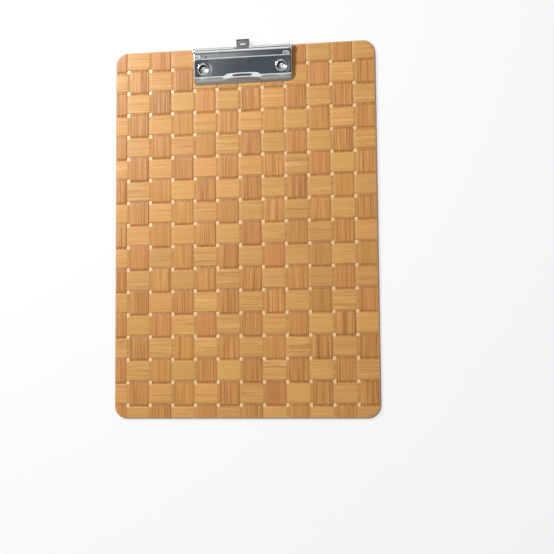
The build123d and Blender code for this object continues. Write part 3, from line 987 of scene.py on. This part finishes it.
def jaw_plate():
    """The whole jaw: skin with its holes, ears and rolled rims. The lip's
    underside is cut level, so that it stands just clear of the strips."""
    skin = jaw_skin()
    thicken(skin, SHEET_T)
    cutters = []
    for side in (-1, 1):
        middle = Vector((side * RIVET_X, RIVET_Y, panel_height(RIVET_Y))) * MM
        hole = upright_rod("hole", 0, 0, -5, 5, HOLE_CUT_R, JAW_TILT)
        hole.data.transform(Matrix.Translation(middle))
        cutters.append(hole)
        leg_place = (side * LEG_X, LEG_HOLE_Y, FRONT, FRONT + 9)
        cutters.append(upright_rod("leg_hole", *leg_place, LEG_HOLE_R, 0.0, 32))
    cut(skin, *cutters)
    cut(skin, bar("clearance", -PAST_CLIP, PAST_CLIP, PIN_Y, PIN_Z, JAW_CLEAR_R, 96))
    below = block("board_room", -PAST_CLIP, PAST_CLIP, LIP_Y - 3, CREST_Y, FRONT - 4, LIP_Z + 0.01)
    cut(skin, below)
    parts = [skin]
    for side in (-1, 1):
        parts.append(ear_plate(side))
        parts.append(access_rim(side))
    jaw = join("clip_jaw_plate", parts, "jaw", 32.0)
    dress(jaw, chrome)
    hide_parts("clip_jaw")


# ------------------------------------------------------------------ base plate

WINDOW_HALF_W = 6.4
WINDOW_EDGE_Y = PIN_Y + 0.3
CURL_END = 200.0  # degrees, where the curled barrel ends
BASE_HALF_W = BASE_HIGH.x
BASE_FRONT_Y = BASE_LOW.y
BARREL_END_T = 0.8
LEG_NOTCH_TOP = PIN_Z + 0.6
RELIEF_R = 9.0
RELIEF_Y = BASE_FRONT_Y - 4.0

# Hooked lugs that hold the sliding tab down.
LUG_FRONT_Y = BASE_FRONT_Y + 13.6
LUG_REAR_Y = BASE_FRONT_Y + 18.4
LUG_INNER_X = 5.9
LUG_OUTER_X = 6.7
HOOK_INNER_X = 4.65
HOOK_T = 0.8
HOOK_LOW = TAB_LOW.z + 0.9


def base_sheet():
    """Floor and barrel as one sheet, laid out from the floor's front edge."""
    line = [(y, FRONT) for y in steps(BASE_FRONT_Y, PIN_Y, 24)[:-1]]
    line += arc(PIN_Y, PIN_Z, BARREL_R, -90, CURL_END, 58)
    columns = [-BASE_HALF_W + BARREL_END_T, -LEG_X - LEG_NOTCH_HALF_W, -LEG_X + LEG_NOTCH_HALF_W]
    columns += [-20.0, -WINDOW_HALF_W, 0.0]
    columns += [-x for x in columns[-2::-1]]
    verts = []
    for y, z in line:
        for x in columns:
            verts.append((x, y, z))
    faces = []
    for face in grid_faces(len(line), len(columns)):
        row, column = divmod(face[0], len(columns))
        y = (line[row][0] + line[row + 1][0]) / 2
        z = (line[row][1] + line[row + 1][1]) / 2
        middle = (columns[column] + columns[column + 1]) / 2
        in_window = abs(middle) < WINDOW_HALF_W and y > WINDOW_EDGE_Y
        near_leg = abs(abs(middle) - LEG_X) < LEG_NOTCH_HALF_W and y < PIN_Y
        in_notch = near_leg and FRONT + FLOOR_T < z < LEG_NOTCH_TOP
        if not in_window and not in_notch:
            faces.append(face)
    sheet = new_object("base_sheet", verts, faces, None, 40.0)
    thicken(sheet, FLOOR_T)
    return sheet


def base_plate():
    """Sheet with rivet holes, the barrel's closed ends and the tab's lugs."""
    sheet = base_sheet()
    cutters = []
    for side in (-1, 1):
        cutters.append(upright_rod("seat", side * RIVET_X, RIVET_Y, FRONT - 1, FRONT + 2, SEAT_R))
    cutters.append(upright_rod("relief", 0, RELIEF_Y, FRONT - 1, FRONT + 2, RELIEF_R))
    cut(sheet, *cutters)
    lift = 0.02
    outline = [(PIN_Y - BARREL_R, FRONT + lift), (PIN_Y, FRONT + lift)]
    outline += arc(PIN_Y, PIN_Z, BARREL_R, -90, 180, 32)
    hook_top = HOOK_LOW + HOOK_T
    wall_low = FRONT + FLOOR_T - 0.1
    parts = [sheet]
    for side in (-1, 1):
        x0, x1 = sorted((side * (BASE_HALF_W - BARREL_END_T), side * BASE_HALF_W))
        end = prism_x("barrel_end", outline, x0, x1)
        bevel(end, 0.16)
        parts.append(end)
        x0, x1 = sorted((side * LUG_INNER_X, side * LUG_OUTER_X))
        wall = block("lug", x0, x1, LUG_FRONT_Y, LUG_REAR_Y, wall_low, hook_top)
        x0, x1 = sorted((side * HOOK_INNER_X, side * LUG_OUTER_X))
        hook = block("hook", x0, x1, LUG_FRONT_Y, LUG_REAR_Y, HOOK_LOW, hook_top)
        for lug in (wall, hook):
            bevel(lug, 0.15)
            parts.append(lug)
    base = join("clip_base_plate", parts, "board", 32.0)
    dress(base, chrome)
    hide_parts("clip_base")


# --------------------------------------------------------- tab, rivets, springs

def hanger():
    """Sliding tab with a wide inner head, rounded corners, a slot and a curled tip."""
    low, thickness = TAB_LOW.z, 0.8
    half, tip, tail = 5.75, TAB_HIGH.y, TAB_LOW.y
    head_half, shoulder = 8.0, tail + 4.0
    corner = 0.9
    outline = [(-head_half, tail), (head_half, tail), (head_half, shoulder), (half, shoulder)]
    for turn in steps(0.0, math.pi / 2, 6):
        x = half - corner + corner * math.cos(turn)
        outline.append((x, tip - corner + corner * math.sin(turn)))
    outline += [(-x, y) for x, y in outline[:3:-1]]
    outline += [(-half, shoulder), (-head_half, shoulder)]
    plate = prism_z("tab", outline, low, low + thickness)
    slot_y, slot_half, slot_r = tip - 4.3, 1.75, 0.75
    cut(plate, stadium("slot", slot_y, slot_half, slot_r, low - 1, low + 2))
    bevel(plate, 0.16, 3)
    curl_r = 0.5
    curl = bar("curl", -half + corner, half - corner, tip - curl_r, low + thickness, curl_r, 32)
    bevel(curl, 0.12)
    tab = join("hanger_tab_plate", [plate, curl], "hanger", 14.0)
    dress(tab, tab_steel)
    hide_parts("hanger_tab")


def rivets():
    """Tubular rivets with rolled heads in front and spread tails behind."""
    seat = FRONT + FLOOR_T
    roll_z, roll_r = seat + 0.7, 1.0
    shank_r, bore_r, tail_r = 2.0, 1.35, 3.2
    bend_low, bend_high = 0.78, 0.82
    profile = [(shank_r, bend_high), (shank_r, seat)]
    profile += [(RIVET_HEAD_R - 0.25, seat), (RIVET_HEAD_R, seat + 0.25)]
    middle_r, half = (RIVET_HEAD_R + bore_r) / 2, (RIVET_HEAD_R - bore_r) / 2
    for turn in steps(0.0, math.pi, 16):
        profile.append((middle_r + half * math.cos(turn), roll_z + roll_r * math.sin(turn)))
    profile += [(bore_r, 1.2), (bore_r + 0.5, 0.35), (bore_r + 1.1, 0.12)]
    profile += [(tail_r - 0.3, 0.12), (tail_r, 0.4), (tail_r, bend_low)]
    parts = [revolve("rivet", profile, side * RIVET_X, RIVET_Y) for side in (-1, 1)]
    pair = join("tubular_rivets", parts, "board", 40.0)
    dress(pair, rivet_metal)
    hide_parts("clip_rivets")


def torsion_spring(side, node):
    """Coil on the pin, with a short tail behind it and a leg that rises through the jaw's hole."""
    coil_r, turns, pitch, per_turn = 1.65, 4, 0.9, 28
    x_leg = side * LEG_X
    x_tail = side * (LEG_X - turns * pitch)
    low = PIN_Z - coil_r
    path = [(x_tail, PIN_Y + 0.8, low), (x_tail, PIN_Y + 0.3, low)]
    for k in range(turns * per_turn + 1):
        turn = 2 * math.pi * k / per_turn
        x = x_tail + side * pitch * k / per_turn
        path.append((x, PIN_Y - coil_r * math.sin(turn), PIN_Z - coil_r * math.cos(turn)))
    path += [(x_leg, PIN_Y - t, low) for t in (0.5, 1.4, 2.5)]
    path += [(x_leg, PIN_Y - 2.95, low + 0.12), (x_leg, PIN_Y - 3.2, low + 0.4)]
    path += [(x_leg, LEG_HOLE_Y + 0.25, BAND_Z - 1.75), (x_leg, LEG_HOLE_Y, BAND_Z - 1.3)]
    path.append((x_leg, LEG_HOLE_Y, BAND_Z + 0.3))
    spring = tube(node + "_wire", path, WIRE_R)
    dress(spring, spring_steel)
    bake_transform(spring)
    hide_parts(node)


# ------------------------------------------------------- floor, light, camera

AMBIENT = 0.37
FLOOR_GLOW = 0.72
WHITE = (1.0, 1.0, 1.0, 1)
DARK_CEILING = (0.085, 0.10, 0.118, 1)
BRIGHT_WALL = (1.0, 1.02, 1.02, 1)
DIM_RIGHT = (0.10, 0.078, 0.053, 1)
DIM_LEFT = (0.42, 0.37, 0.30, 1)
SKIRTING = (0.30, 0.31, 0.30, 1)
KEY_PLACE = (-550, 465, 750)
KEY_SIDE = 230
KEY_POWER = 9.5


def white_backdrop():
    """Pale floor under the board: white to the camera, but it keeps a shadow."""
    half, level = 4000.0, -0.05
    corners = [(-half, -half, level), (half, -half, level), (half, half, level), (-half, half, level)]
    floor = new_object("floor", corners, [(0, 1, 2, 3)])
    material = bpy.data.materials.new("pale floor")
    material.use_nodes = True
    tree = material.node_tree
    tree.nodes.clear()
    n = Nodes(tree)
    paint = n.add("ShaderNodeBsdfDiffuse")
    paint.inputs["Color"].default_value = (0.90, 0.90, 0.90, 1)
    glow = n.add("ShaderNodeEmission")
    glow.inputs["Color"].default_value = WHITE
    glow.inputs["Strength"].default_value = 1.0
    path = n.add("ShaderNodeLightPath")
    seen = n.math("MAXIMUM", path.outputs["Is Camera Ray"], path.outputs["Is Transmission Ray"])
    seen = n.math("MAXIMUM", seen, path.outputs["Is Glossy Ray"])
    mix = n.add("ShaderNodeMixShader")
    n.link(n.math("MULTIPLY", seen, FLOOR_GLOW), mix.inputs[0])
    n.link(paint.outputs[0], mix.inputs[1])
    n.link(glow.outputs[0], mix.inputs[2])
    output = n.add("ShaderNodeOutputMaterial")
    n.link(mix.outputs[0], output.inputs[0])
    floor.data.materials.append(material)


def studio_world():
    """Even pale light, and a plain studio for bright metal to reflect: white
    walls of light, a dark strip of ceiling overhead and dim skirting."""
    world = bpy.data.worlds.new("studio")
    bpy.context.scene.world = world
    world.use_nodes = True
    tree = world.node_tree
    tree.nodes.clear()
    n = Nodes(tree)
    place = n.add("ShaderNodeTexCoord")
    split = n.add("ShaderNodeSeparateXYZ")
    n.link(place.outputs["Generated"], split.inputs[0])
    x, y, z = split.outputs
    height = n.math("MAXIMUM", z, 0.02)
    left = n.math("DIVIDE", n.math("MULTIPLY", x, -1.0), height)
    behind = n.math("DIVIDE", y, height)

    # Overhead strip, which reaches further behind the board on the right.
    near_left = n.math("SUBTRACT", n.math("MINIMUM", left, 0.215), 0.144)
    slant = n.math("MULTIPLY_ADD", near_left, 6.0, n.math("SUBTRACT", behind, 0.14))
    rear_light = n.ramp(slant, 0.25, 1.1)
    front_light = n.ramp(behind, 0.03, -0.05)
    left_light = n.math("MULTIPLY", n.ramp(left, 0.262, 0.40), n.ramp(left, 1.5, 1.0))
    bright = n.math("MAXIMUM", n.math("MAXIMUM", rear_light, front_light), left_light)
    bright = n.math("MULTIPLY", bright, n.ramp(left, 2.4, 1.2))
    room = n.mix(bright, DARK_CEILING, BRIGHT_WALL)

    # Low in front the room is dim and warm, dimmer to the right, over a grey skirting.
    low_front = n.ramp(behind, -0.9, -1.6)
    dim_front = n.mix(n.ramp(left, -0.3, 0.9), DIM_RIGHT, DIM_LEFT)
    room = n.mix(low_front, room, dim_front)
    skirting = n.ramp(z, 0.30, 0.12)
    room = n.mix(skirting, room, SKIRTING)

    path = n.add("ShaderNodeLightPath")
    colour = n.mix(path.outputs["Is Glossy Ray"], (AMBIENT, AMBIENT, AMBIENT * 1.02, 1), room)
    seen = n.math("MAXIMUM", path.outputs["Is Camera Ray"], path.outputs["Is Transmission Ray"])
    colour = n.mix(seen, colour, WHITE)
    background = n.add("ShaderNodeBackground")
    n.link(colour, background.inputs["Color"])
    background.inputs["Strength"].default_value = 1.0
    output = n.add("ShaderNodeOutputWorld")
    n.link(background.outputs[0], output.inputs[0])


def key_light():
    """Square light from behind and left, aimed at the board's middle."""
    lamp = bpy.data.lights.new("key", "AREA")
    lamp.shape = "RECTANGLE"
    lamp.size = KEY_SIDE * MM
    lamp.size_y = KEY_SIDE * MM
    lamp.energy = KEY_POWER
    obj = bpy.data.objects.new("key", lamp)
    obj.location = Vector(KEY_PLACE) * MM
    aim = (-Vector(KEY_PLACE)).normalized()
    obj.rotation_euler = aim.to_track_quat("-Z", "Y").to_euler()
    bpy.context.scene.collection.objects.link(obj)


def camera():
    """Long lens above the board, a little below and right of its middle."""
    data = bpy.data.cameras.new("camera")
    data.sensor_fit = "HORIZONTAL"
    data.sensor_width = 36.0
    data.lens = 66.33
    data.clip_start = 0.05
    data.clip_end = 20.0
    obj = bpy.data.objects.new("camera", data)
    right = Vector((0.98741, -0.00883, -0.15791))
    up = Vector((0.02179, 0.99651, 0.08056))
    back = Vector((0.15665, -0.08298, 0.98416))
    turn = Matrix((right, up, back)).transposed().to_4x4()
    place = Vector((160.73, -110.79, 835.93 + FRONT)) * MM
    obj.matrix_world = Matrix.Translation(place) @ turn
    bpy.context.scene.collection.objects.link(obj)
    bpy.context.scene.camera = obj


woven_face()
cad_finishes()
jaw_plate()
base_plate()
hanger()
rivets()
torsion_spring(-1, "torsion_spring_left")
torsion_spring(1, "torsion_spring_right")
white_backdrop()
studio_world()
key_light()
camera()
bpy.context.scene.view_settings.view_transform = "Standard"
